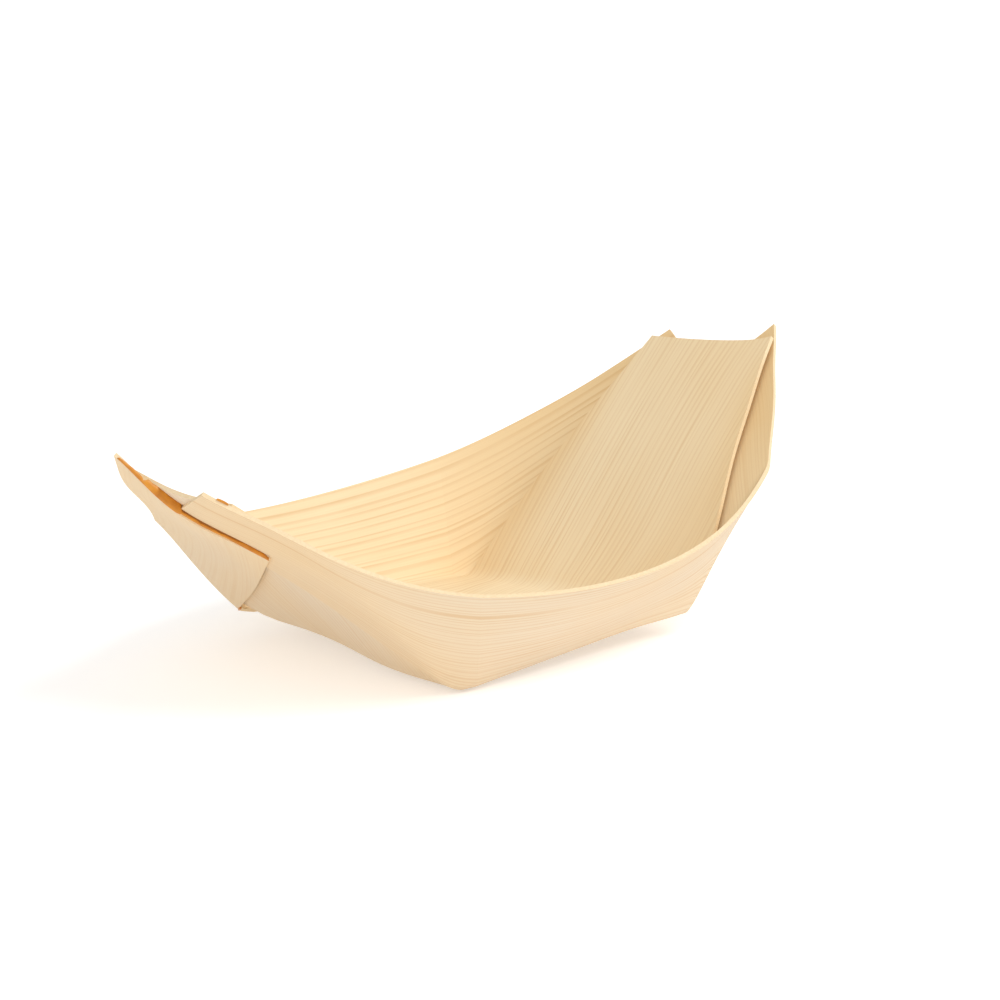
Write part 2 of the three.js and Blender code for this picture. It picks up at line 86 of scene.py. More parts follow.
class SnackBoatFold(bpy.types.PropertyGroup):
    """Sizes of the veneer blank and of its folds"""
    veneer: length("Veneer", "Thickness of the sliced pine", 0.45)
    glue_film: length("Glue film", "Space between two lapped layers", 0.04)
    overall: length("Length", "Between the outer tips", 84.98)
    breadth: length("Breadth", "Over the rims amidships", 55.58)
    rise: length("Height", "Up to the outer tips", 27.69)
    rim_rise: length("Rim height", "Rim above the table amidships", 10.7)
    blank_length: length("Blank length", "Flat sheet along the grain", 103.2)
    blank_breadth: length("Blank breadth", "Flat sheet across the grain", 64.8)
    rim_crease: length("Crease on the blank", "From the middle of the rim to the crease or bend", 29.6)
    resting_x: length("Resting corner along", "Floor corner that stands on the table", 17.2)
    resting_y: length("Resting corner across", "Floor corner that stands on the table", 17.5)
    end_foot_x: length("End foot along", "Foot of the slanted end, near the resting corner", 15.66)
    end_foot_y: length("End foot across", "Foot of the slanted end, near the resting corner", 16.62)
    sprung_x: length("Sprung corner along", "Floor corner that the folding lifts", 15.1)
    sprung_y: length("Sprung corner across", "Floor corner that the folding lifts", 19.8)
    corner_lift: length("Corner lift", "Height of the sprung corners", 2.7)
    flat_middle: share("Flat middle", "Share of the floor that lies flat on the table", 0.35)
    floor_bend: length("Floor bend", "Reach of the bend from the floor into a side wall", 0.9)
    tongue_bend: length("Tongue bend", "Reach of the bend from the floor into a tongue", 1.6)
    corner_inset: length("Tongue corner inset", "Tongue's foot short of the resting corner", 0.5)
    right_setback: length("Right tongue setback", "Right tongue's top edge short of the tip", 2.9)
    left_setback: length("Left tongue setback", "Left tongue's top edge short of the tip", 3.9)
    tongue_top: length("Tongue top", "Width of a tongue's top edge", 17)
    top_dip: length("Top dip", "Sag of a tongue's top edge", 0.2)
    right_corner_rise: length("Right corner rise", "Right tongue's corner by the outer tip, drawn up", 0.7)
    right_corner_spread: length("Right corner spread", "The same corner, drawn out", 0.35)
    left_corner_rise: length("Left corner rise", "Left tongue's corner by the outer tip, drawn up", 0.4)
    left_corner_spread: length("Left corner spread", "The same corner, drawn out", 1.6)
    left_corner_ease: length("Left corner ease", "The same corner, leaned out to the outer wrap", 0.4)
    tongue_bow: length("Tongue bow", "Slack in a tongue's slit edge", 2.6)
    outer_tip: length("Outer tip spread", "Across the outer tips", 13.8)
    crease_setback: length("Crease setback", "Crease top short of the tip", 13.8)
    crease_spread: length("Crease spread", "Across the crease tops", 39.4)
    crease_lap: length("Crease lap", "Outer wrap's share of the side wall", 1.6)
    crease_rounding: share("Crease rounding", "Share of the lap that the crease takes up", 0.6)
    outer_end_setback: length("Outer end setback", "Inner corner of an outer wrap's end edge", 11.7)
    outer_end_reach: length("Outer end reach", "Inner corner of an outer wrap's end edge", 4)
    inner_tip_setback: length("Inner tip setback", "Inner tip short of the outer tip", 1.6)
    inner_tip: length("Inner tip spread", "Across the inner tips", 13.8)
    bend_setback: length("Bend setback", "Rim bend short of the tip", 12)
    bend_spread: length("Bend spread", "Across the rim bends", 41)
    bend_rim: length("Rim bend leg", "Reach of the wide bend at the rim", 10.5)
    bend_floor: length("Floor bend leg", "Reach of the wide bend at the floor", 2.6)
    inner_end_setback: length("Inner end setback", "Inner corner of an inner wrap's end edge", 9.3)
    inner_end_reach: length("Inner end reach", "Inner corner of an inner wrap's end edge", 9.5)
    edge_lift: length("Edge lift", "How far an outer wrap's end edge stands off in its middle", 0.15)
    slit_press: length("Slit press", "How far the glue draws an outer wrap's slit edge in", 0.2)
    settling: share("Settling", "How fast the veneer settles onto an end from a foot that stands off it", 3)
    crease_place: share("Crease pull place", "Share of the rim from the crease to the tip", 0.08)
    crease_pull: length("Crease pull", "Left crease drawn in", 1.15)
    crease_reach: length("Crease pull reach", "Distance over which the pull fades", 9.5)
    crease_foot_pull: length("Crease foot pull", "Foot of the left crease pushed out", 0.35)
    crease_foot_reach: length("Crease foot reach", "Distance over which the push fades", 8)
    inner_pull: length("Inner tip pull", "Left inner tip drawn out", 0.5)
    inner_drop: length("Inner tip drop", "Left inner tip drawn down", 0.4)
    inner_reach: length("Inner tip pull reach", "Distance over which the pull fades", 7)
    bulge_place: share("End bulge place", "Share of the outer wrap's end edge from the tip", 0.43)
    end_bulge: length("End bulge", "Left end bulged out", 1.3)
    bulge_reach: length("End bulge reach", "Distance over which the bulge fades", 9)
    foot_place: share("Foot pull place", "Share of the end's foot from the sprung corner", 0.7)
    foot_pull: length("Foot pull", "Left foot pushed out", 1.1)
    foot_drop: length("Foot drop", "Left foot pushed down", 0.3)
    foot_reach: length("Foot pull reach", "Distance over which the push fades", 9)
    left_tip_pull: length("Left tip pull", "Left outer tip drawn in", 0.4)
    left_tip_lift: length("Left tip lift", "Left outer tip drawn up", 0.29)
    left_tip_reach: length("Left tip reach", "Distance over which the pull fades", 7)
    right_tip_pull: length("Right tip pull", "Right outer tip drawn out", 0.4)
    right_tip_turn: length("Right tip turn", "Right outer tip drawn to the front", 0.75)
    right_tip_reach: length("Right tip reach", "Distance over which the pull fades", 6)
    rim_place: share("Rim pull place", "Share of the rim from the crease to the tip", 0.5)
    rim_pull: length("Rim pull", "Right rim drawn out", 0.4)
    rim_turn: length("Rim turn", "Right rim drawn to the front", 0.7)
    rim_reach: length("Rim pull reach", "Distance over which the pull fades", 8)
    right_foot_pull: length("Right foot pull", "Foot of the right crease pushed out", 0.25)
    right_foot_drop: length("Right foot drop", "Foot of the right crease pushed down", 0.4)
    right_foot_reach: length("Right foot reach", "Distance over which the push fades", 6)
    far_rim_lift: length("Far rim lift", "Rear rim lifted at its wide bend", 0.4)
    far_rim_reach: length("Far rim reach", "Distance over which the lift fades", 10)
    glue_spot: length("Glue spot", "Thickness of the glue spots", 0.45)


class SnackBoatFinish(bpy.types.PropertyGroup):
    """Colours and grain of the pine and the glue"""
    earlywood: colour("Earlywood", "Pale wood between the ring lines", "#EBDAC1")
    # The inner face's paler, warmer earlywood is partly the wood's own tone and partly painted warm bounce
    # light inside the boat.
    inner_wood_and_bounce_light: colour("Inner earlywood", "The same on the sheet's inner face", "#FAE6C0")
    latewood: colour("Latewood", "Darker ring lines", "#D6A86C")
    # Blush colours the wood's own warm patches and also the drift towards the ends, which is painted light.
    blush: colour("Blush", "Warm drift across the sheet", "#F0D09C")
    cut_edge: colour("Cut edge", "Fresh edge of the veneer", "#F4DDB6")
    glue: colour("Glue", "Amber squeezed-out glue", "#E0952B")
    glue_cloud: colour("Glue cloud", "Deeper amber clouds in the glue", "#C87A1C")
    # Painted shade: the glue's colour darkened to brown for the shade deep in the gap behind a cut edge.
    glue_painted_shade: colour("Browned glue", "Glue seen deep in a gap", "#A5671F")
    ring_spacing: length("Ring spacing", "Between the growth-ring lines in the middle of the sheet", 0.65)
    ring_widening: share("Ring widening", "How much wider the rings stand for each mm to the rear", 0.006)


class SnackBoatStage(bpy.types.PropertyGroup):
    """Camera, lights and table"""
    camera_turn: angle("Camera turn", "Camera's turn from the front towards the left end", 42.905)
    camera_rise: angle("Camera rise", "Camera's height above the table", 13.775)
    camera_roll: angle("Camera roll", "Tilt of the picture", -2.847)
    camera_away: length("Camera distance", "From the boat's middle to the camera", 619.19)
    camera_focal: share("Focal length", "Focal length over the picture's width", 5.6289)
    aim_right: length("Aim right", "Picture centre to the right of the boat's middle", 3.904)
    aim_up: length("Aim up", "Picture centre above the boat's middle", 14.641)
    key_power: power("Key power", "Lamp at the front right", 8.3)
    fill_power: power("Fill power", "Lamp at the left", 2.4)
    sky: share("Sky", "Strength of the even light all round", 0.58)
    table: colour("Table", "Pale table top", "#F4F4F4")
    table_glow: share("Table glow", "Light that the table gives off", 0.25)
    table_seen_glow: share("Seen table glow", "What the eye sees of the table on top of that", 0.1)


def blend(a, b, t):
    """The point or number a share t of the way from a to b."""
    return a + (b - a) * t


def half_turn(p):
    """The point on the other half of the boat."""
    return Vector((-p.x, -p.y, p.z))


class FoldedBlank:
    """Where the front half of the folded sheet lies, on its outer face, in metres."""

    def __init__(self, fold):
        self.fold = fold
        self.pitch = fold.veneer + fold.glue_film
        self.resting = Vector((-fold.resting_x, -fold.resting_y))
        self.sprung = Vector((fold.sprung_x, -fold.sprung_y))
        self.tip_x = fold.overall / 2
        self.crease_foot = self.on_floor(self.sprung.x, self.sprung.y)
        self.outer_tip = Vector((self.tip_x, -fold.outer_tip / 2, fold.rise))
        foot = Vector((fold.end_foot_x, fold.end_foot_y, 0))
        normal = (self.outer_tip - self.crease_foot).cross(foot - self.crease_foot).normalized()
        self.end_normal = normal if normal.x > 0 else -normal
        self.end_offset = self.end_normal.dot(self.outer_tip)
        self.crease_top = self.on_end(self.tip_x - fold.crease_setback, -fold.crease_spread / 2, 0)
        self.outer_end = self.on_end(self.tip_x - fold.outer_end_setback, fold.outer_end_reach, 0)
        self.inner_tip = self.on_end(self.tip_x - fold.inner_tip_setback, fold.inner_tip / 2, 1)
        self.inner_end = self.on_end(self.tip_x - fold.inner_end_setback, -fold.inner_end_reach, 1)
        self.bend_top = self.on_end(self.tip_x - fold.bend_setback, fold.bend_spread / 2, 1)
        self.bend_foot = self.on_floor(-self.resting.x, -self.resting.y)
        self.rim_middle = Vector((0, -fold.breadth / 2, fold.rim_rise))
        self.rim_bend = half_turn(self.bend_top)
        self.foot_bend = half_turn(self.bend_foot)
        self.rim_length = ((self.crease_top - self.rim_middle).length
                           + (self.rim_middle - self.rim_bend).length)
        self.foot_length = (self.crease_foot - self.foot_bend).length
        front_x = self.end_foot(self.floor_front(self.sprung.x), 2)
        rear_x = -self.resting.x - fold.corner_inset
        self.front_foot = self.on_floor(front_x, self.floor_front(front_x))
        self.rear_foot = self.on_floor(rear_x, self.floor_rear(rear_x))
        self.pulls = self.hand_folds()

    def root_x(self, v):
        """Root of the right tongue on the floor, at a share from the front to the rear."""
        return blend(self.front_foot.x, self.rear_foot.x, v) - self.fold.tongue_bend

    def hand_folds(self):
        """Where the hand folding pulled the boat out of true: a place, a pull and its reach."""
        fold = self.fold
        bulge = blend(self.outer_tip, self.outer_end, fold.bulge_place)
        foot = blend(self.crease_foot, self.bend_foot, fold.foot_place)
        crease = blend(self.crease_top, self.outer_tip, fold.crease_place)
        rim = blend(self.crease_top, self.outer_tip, fold.rim_place)
        return (
            (half_turn(crease), Vector((fold.crease_pull, -fold.crease_pull, 0)), fold.crease_reach),
            (half_turn(self.crease_foot), Vector((-fold.crease_foot_pull, fold.crease_foot_pull, 0)),
             fold.crease_foot_reach),
            (half_turn(self.inner_tip), Vector((-fold.inner_pull, fold.inner_pull, -fold.inner_drop)),
             fold.inner_reach),
            (half_turn(bulge), half_turn(self.end_normal) * fold.end_bulge, fold.bulge_reach),
            (half_turn(foot), Vector((-fold.foot_pull, 0, -fold.foot_drop)), fold.foot_reach),
            (half_turn(self.outer_tip), Vector((fold.left_tip_pull, -fold.left_tip_pull, fold.left_tip_lift)),
             fold.left_tip_reach),
            (self.outer_tip, Vector((fold.right_tip_pull, -fold.right_tip_turn, 0)), fold.right_tip_reach),
            (rim, Vector((fold.rim_pull, -fold.rim_turn, 0)), fold.rim_reach),
            (self.bend_top, Vector((0, 0, fold.far_rim_lift)), fold.far_rim_reach),
            (self.crease_foot, Vector((fold.right_foot_pull, -fold.right_foot_pull, -fold.right_foot_drop)),
             fold.right_foot_reach),
        )

    def hand_folded(self, p):
        """The point after the uneven pull of the hand folding."""
        moved = p.copy()
        for place, pull, reach in self.pulls:
            away = (p - place).length / reach
            moved += pull * math.exp(-away * away)
        moved.z = max(moved.z, 0)
        return moved

    def edge_lift(self, t):
        """How far the outer wrap's end edge stands off, at a share of its length."""
        return self.fold.edge_lift * 4 * t * (1 - t)

    def settled(self, p, foot, top, level):
        """A point on the way up the right end from a foot that stands off, settled onto the end."""
        off = self.end_normal.dot(foot) - self.end_offset + level * self.pitch
        line = top - foot
        left = 1 - min(1, max(0, (p - foot).dot(line) / line.length_squared))
        return p + self.end_normal * (off * (left ** self.fold.settling - left))

    def on_floor(self, x, y):
        """Floor point: flat in the middle, twisted up towards the sprung corners at its edges."""
        half = blend(-self.resting.x, self.sprung.x, 0.5)
        u = min(1, max(0, x / half / 2 + 0.5))
        front = self.front_edge(x)
        rear = -self.front_edge(-x)
        v = min(1, max(0, (y - front) / (rear - front)))
        out = max(abs(2 * u - 1), abs(2 * v - 1))
        e = min(1, max(0, (out - self.fold.flat_middle) / (1 - self.fold.flat_middle)))
        return Vector((x, y, self.fold.corner_lift * (u + v - 2 * u * v) * e * e * (3 - 2 * e)))

    def on_end(self, x, y, level):
        """Point of the slanted right end: level 0 outer wrap, 1 inner wrap, 2 tongue."""
        n = self.end_normal
        return Vector((x, y, (self.end_offset - level * self.pitch - n.x * x - n.y * y) / n.z))

    def end_foot(self, y, level):
        """Where a layer of the right end meets the floor."""
        x = self.sprung.x
        slope = -self.end_normal.x / self.end_normal.z
        for _ in range(12):
            x -= (self.on_end(x, y, level).z - self.on_floor(x, y).z) / slope
        return x

    def front_edge(self, x):
        """Line between the floor's two front corners."""
        t = (x - self.resting.x) / (self.sprung.x - self.resting.x)
        return blend(self.resting.y, self.sprung.y, t)

    def floor_front(self, x):
        """Front edge of the floor panel, where the bend into the front wall starts."""
        return self.front_edge(x) + self.fold.floor_bend

    def floor_rear(self, x):
        """Rear edge of the floor panel."""
        return -self.floor_front(-x)

    def rim_at(self, s):
        """Rim curve from the crease over the middle to the wide bend."""
        return (self.crease_top * ((1 - s) * (1 - 2 * s))
                + self.rim_middle * (4 * s * (1 - s))
                + self.rim_bend * (s * (2 * s - 1)))

    def foot_at(self, s):
        """Foot of the front wall, from the crease to the wide bend."""
        x = blend(self.crease_foot.x, self.foot_bend.x, s)
        return self.on_floor(x, self.front_edge(x))

    def flat_foot(self, s):
        """Foot of the wall on the flat blank."""
        foot = self.foot_at(s)
        return Vector((foot.x, foot.y))

    def flat_rim(self, s):
        """Rim on the flat blank."""
        return Vector((self.fold.rim_crease * (1 - 2 * s), -self.fold.blank_breadth / 2))


def bent_path(a, c, b, rounding, t):
    """Point a share t along the way from a to b, turned at c by an arc that starts at the rounding."""
    start = blend(c, a, rounding)
    end = c + (b - c).normalized() * (start - c).length
    lead = (start - a).length
    arc = (c - start).length + (end - c).length
    tail = (b - end).length
    way = t * (lead + arc + tail)
    if way < lead:
        return blend(a, start, way / lead)
    if way < lead + arc:
        w = (way - lead) / arc
        return start * (1 - w) ** 2 + c * (2 * w * (1 - w)) + end * w ** 2
    return blend(end, b, (way - lead - arc) / tail)


def floor_point(boat, u, v):
    """Floor panel, from its left root to its right root and from front to rear."""
    x = blend(-boat.root_x(1 - v), boat.root_x(v), u)
    p = boat.on_floor(x, blend(boat.floor_front(x), boat.floor_rear(x), v))
    return p, Vector((p.x, p.y))


def tongue_point(boat, setback, rise, spread, ease, u, v):
    """Right tongue, from its root up to its top edge and from front to rear."""
    fold = boat.fold
    top_x = boat.tip_x - setback
    top_front = boat.on_end(top_x, -fold.tongue_top / 2, 2)
    top_rear = boat.on_end(top_x, fold.tongue_top / 2, 2)
    slope = (blend(boat.front_foot, boat.rear_foot, 0.5) - blend(top_front, top_rear, 0.5)).normalized()
    dip = fold.top_dip * 4 * v * (1 - v)
    root_x = boat.root_x(v)
    root = boat.on_floor(root_x, blend(boat.floor_front(root_x), boat.floor_rear(root_x), v))
    # The corner's rise stays close to it, and its spread reaches further in.
    top = blend(top_front, top_rear, v) + slope * (dip - rise * (1 - v) ** 8)
    top += (top_front - top_rear).normalized() * (spread * (1 - v) ** 3)
    line = blend(boat.front_foot, boat.rear_foot, v)
    foot = boat.on_floor(line.x, line.y)
    p = boat.settled(bent_path(root, foot, top, 1, u), foot, top, 2)
    up = max(0, (p.z - fold.corner_lift) / (top.z - fold.corner_lift))
    # The slack is greatest a quarter of the way up, where up * (1 - up) ** 3 is 27 / 256.
    slack = fold.tongue_bow * 256 / 27 * up * (1 - up) ** 3
    p += (top_front - top_rear).normalized() * (slack * (1 - v) ** 2)
    p += boat.end_normal * (ease * max(0, (up - 0.7) / 0.3) ** 2 * (1 - v) ** 2)
    flat_top = Vector((fold.blank_length / 2 - setback / 2, blend(-fold.tongue_top, fold.tongue_top, v) / 2))
    return p, blend(Vector((root.x, root.y)), flat_top, u)


def wall_point(boat, u, v):
    """Front wall, from the wide bend to the crease and from the floor to the rim."""
    fold = boat.fold
    foot_s = blend(1 - fold.bend_floor / boat.foot_length, fold.crease_lap / boat.foot_length, u)
    rim_s = blend(1 - fold.bend_rim / boat.rim_length, fold.crease_lap / boat.rim_length, u)
    foot = boat.foot_at(foot_s)
    under = boat.on_floor(foot.x, foot.y + fold.floor_bend)
    p = bent_path(under, foot, boat.rim_at(rim_s), 1, v)
    flat = blend(boat.flat_foot(foot_s) + Vector((0, fold.floor_bend)), boat.flat_rim(rim_s), v)
    return p, flat


def unfolded(boat, p, v):
    """Flat-blank coordinate of a point of the outer wrap past the crease."""
    crease = boat.crease_top - boat.crease_foot
    up = crease.normalized()
    past = boat.end_normal.cross(up)
    if past.dot(boat.outer_tip - boat.crease_top) < 0:
        past = -past
    flat_crease = boat.flat_rim(0) - boat.flat_foot(0)
    flat_up = flat_crease.normalized()
    flat_past = Vector((-flat_up.y, flat_up.x))
    step = p - boat.crease_foot - crease * v
    return boat.flat_foot(0) + flat_crease * v + flat_up * step.dot(up) + flat_past * step.dot(past)


def outer_wrap_point(boat, u, v):
    """Outer wrap of the right end, from the front wall round the crease to its end edge."""
    fold = boat.fold
    start, flat_start = wall_point(boat, 1, v)
    crease = blend(boat.crease_foot, boat.crease_top, v)
    end = blend(boat.outer_end, boat.outer_tip, v)
    p = bent_path(start, crease, end, fold.crease_rounding, u)
    lap = (crease - start).length
    way = u * (lap + (end - crease).length)
    if way < lap:
        flat = blend(flat_start, unfolded(boat, crease, v), way / lap)
    else:
        flat = unfolded(boat, blend(crease, end, (way - lap) / (end - crease).length), v)
    # The glue's press comes in over three lap widths from the wall and fades away from the slit edge.
    press = fold.slit_press * (1 - v) ** 6 * min(1, way / lap / 3)
    return p + boat.end_normal * (boat.edge_lift(v) * u ** 3 - press), flat


def inner_wrap_point(boat, u, v):
    """Inner wrap of the left end, from the front wall round the wide bend to its end edge."""
    start, flat = wall_point(boat, 0, v)
    bend = blend(boat.foot_bend, boat.rim_bend, v)
    end = blend(half_turn(boat.inner_end), half_turn(boat.inner_tip), v)
    p = bent_path(start, bend, end, 1, u)
    p = half_turn(boat.settled(half_turn(p), half_turn(bend), half_turn(end), 1))
    return p, Vector((blend(flat.x, -boat.fold.blank_length / 2, u), flat.y))


def veneer_piece(boat, name, grain_steps, cross_steps, point, turned, grows_in):
    """Lays a grid on the folded sheet, maps it to the blank and gives it the veneer's thickness."""
    fold = boat.fold
    bpy.ops.object.select_all(action="DESELECT")
    bpy.ops.mesh.primitive_grid_add(x_subdivisions=grain_steps, y_subdivisions=cross_steps, size=1)
    piece = bpy.context.object
    piece.name = "boat_" + name
    mesh = piece.data
    blank = mesh.uv_layers[0]
    blank.name = "Blank"
    flats = []
    for vertex in mesh.vertices:
        p, flat = point(vertex.co.x + 0.5, vertex.co.y + 0.5)
        vertex.co = boat.hand_folded(half_turn(p) if turned else p)
        flats.append(-flat if turned else flat)
    for loop in mesh.loops:
        flat = flats[loop.vertex_index]
        blank.data[loop.index].uv = (flat.x / fold.blank_length + 0.5, flat.y / fold.blank_length + 0.5)
    faces = ["Sliced pine, outer face", "Sliced pine, inner face"]
    if grows_in:
        faces.reverse()
    for material in faces + ["Cut pine edge"]:
        mesh.materials.append(bpy.data.materials[material])
    wall = piece.modifiers.new("Veneer", "SOLIDIFY")
    wall.thickness = fold.veneer
    wall.offset = 1 if grows_in else -1
    wall.material_offset = 1
    wall.material_offset_rim = 2
    bpy.ops.object.modifier_apply(modifier=wall.name)
    bpy.ops.object.shade_smooth_by_angle(angle=math.radians(40))
    finish_piece(piece, name)


# How a bead narrows at its ends: the lower, the longer it stays full.
BEAD_TAPER = 0.18


def glue_bead(boat, station, turned, material):
    """Stretches a ball into a bead along its line: each station gives a centre and two half axes.

    The ends of the bead taper towards its outer side."""
    bpy.ops.object.select_all(action="DESELECT")
    bpy.ops.mesh.primitive_uv_sphere_add(segments=20, ring_count=96, radius=1)
    bead = bpy.context.object
    for vertex in bead.data.vertices:
        t = math.acos(max(-1, min(1, vertex.co.z))) / math.pi
        round_by = math.atan2(vertex.co.y, vertex.co.x)
        taper = math.sin(math.pi * t) ** BEAD_TAPER if 0 < t < 1 else 0
        centre, wide, deep = station(t)
        p = centre + wide * (math.cos(round_by) * taper) + deep * (1 - taper + math.sin(round_by) * taper)
        vertex.co = boat.hand_folded(half_turn(p) if turned else p)
    bpy.ops.object.mode_set(mode="EDIT")
    bpy.ops.mesh.select_all(action="SELECT")
    bpy.ops.mesh.remove_doubles(threshold=0.002 * MM)
    bpy.ops.mesh.normals_make_consistent(inside=False)
    bpy.ops.object.mode_set(mode="OBJECT")
    bead.data.materials.append(bpy.data.materials[material])
    bpy.ops.object.shade_smooth()
    return bead


def glue_piece(boat, name, turned, *beads):
    """One run of glue, of one or more beads, each with its stations and its material."""
    made = [glue_bead(boat, station, turned, material) for station, material in beads]
    bpy.ops.object.select_all(action="DESELECT")
    for bead in made:
        bead.select_set(True)
    bpy.context.view_layer.objects.active = made[0]
    if len(made) > 1:
        bpy.ops.object.join()
    made[0].name = "boat_" + name
    finish_piece(made[0], name)


def away_from(start, end, inside):
    """Unit step square to a line, on the side away from a point."""
    line = (end - start).normalized()
    offset = start - inside
    return (offset - line * offset.dot(line)).normalized()


def at_share(table, t):
    """Value at a share t of the way through a table of shares and values."""
    for (start, a), (stop, b) in zip(table, table[1:]):
        if t <= stop:
            return blend(a, b, (t - start) / (stop - start))
    return table[-1][1]


# Amber glue along the outer wrap's end edge: between which depths it lies, on the cut edge and in the gap
# behind it, at shares of the edge. A thin run from the tip, a break, a full run up to the inner wrap, a
# fringe along the inner wrap and a last smear. Depths and the bead's place and half width are in
# millimetres.
SEAM_TOP = ((0, 0.02), (0.45, 0), (0.48, 0.2), (0.75, 0.2), (0.88, 0.05), (1, 0))
SEAM_DEPTH = (
    (0, 0.42), (0.1, 0.52), (0.19, 0.62), (0.207, 0.35), (0.225, 0.8), (0.3, 1.05), (0.445, 1.12),
    (0.47, 0.52), (0.75, 0.5), (0.88, 0.68), (1, 0.6),
)
SEAM_OUT = 0.05
SEAM_HALF = 0.2
# Glue coloured brown as painted shade deep in the gap along the inner wrap: its shares of the edge and its
# depths.
SHADE_GLUE_RUN = (0.44, 0.9)
SHADE_GLUE_DEPTH = (0.46, 0.7)
SHADE_GLUE_OUT = 0.04


def seam_station(boat, along, top, bottom, out):
    """Part of the glue on the outer wrap's end edge, from one depth under its face to another."""
    away = away_from(boat.outer_tip, boat.outer_end, boat.crease_top)
    centre = blend(boat.outer_tip, boat.outer_end, along)
    depth = (top + bottom) / 2 * MM - boat.edge_lift(along)
    centre = centre + away * (out * MM) - boat.end_normal * depth
    return centre, away * (SEAM_HALF * MM), boat.end_normal * ((bottom - top) / 2 * MM)


def seam_amber(boat, start, t):
    """Amber glue on the cut edge and in the gap behind it."""
    along = blend(start, 1, t)
    lumps = 1 + 0.05 * math.sin(61 * along) + 0.04 * math.sin(113 * along + 1)
    bottom = at_share(SEAM_DEPTH, along) * lumps
    return seam_station(boat, along, at_share(SEAM_TOP, along), bottom, SEAM_OUT)


def seam_painted_shade(boat, t):
    """Glue in the gap behind the cut edge, along the inner wrap, coloured brown as painted shade."""
    return seam_station(boat, blend(*SHADE_GLUE_RUN, t), *SHADE_GLUE_DEPTH, SHADE_GLUE_OUT)


# The spots' places in millimetres: the run from the sprung corner, and the middle from the inner tip.
SLIT_RUN = (0.8, 2)
CORNER_PLACE = 2.1


def slit_spot(boat, t):
    """Spot of glue at the foot of the outer wrap's slit edge."""
    line = (boat.outer_end - boat.crease_foot).normalized()
    away = away_from(boat.crease_foot, boat.outer_end, boat.crease_top)
    half = 0.4 * boat.fold.glue_spot
    centre = boat.crease_foot + line * (blend(*SLIT_RUN, t) * MM) + away * half * 0.3
    return centre - boat.end_normal * half, away * half, boat.end_normal * half


def corner_spot(boat, size, t):
    """Spot of glue on the tongue's top corner, past the rim of the inner wrap."""
    rim = (boat.inner_tip - boat.bend_top).normalized()
    away = away_from(boat.inner_tip, boat.bend_top, boat.inner_end)
    half = 0.5 * boat.fold.glue_spot * size
    reach = blend(CORNER_PLACE - size, CORNER_PLACE + 1.2 * size, t) * MM
    centre = boat.inner_tip - rim * reach + away * half * 0.2 - boat.end_normal * boat.pitch
    return centre, away * half, boat.end_normal * half


def finish_piece(piece, node):
    """Ties a finished piece to the frame in place of its solid."""
    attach(piece, "root")
    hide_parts(node)


def node_in(tree, kind, inputs=(), **settings):
    """Adds a shader node with its settings, and sets or links its inputs by name or number.

    A node given as an input stands for its first output in use."""
    made = tree.nodes.new(kind)
    for key, value in settings.items():
        setattr(made, key, value)
    for key, value in dict(inputs).items():
        if isinstance(value, bpy.types.Node):
            value = next(output for output in value.outputs if output.enabled)
        if isinstance(value, bpy.types.NodeSocket):
            tree.links.new(value, made.inputs[key])
        else:
            made.inputs[key].default_value = value
    return made


def new_material(name):
    """The empty node tree of a new material."""
    material = bpy.data.materials.new(name)
    material.use_nodes = True
    material.node_tree.nodes.clear()
    return material.node_tree
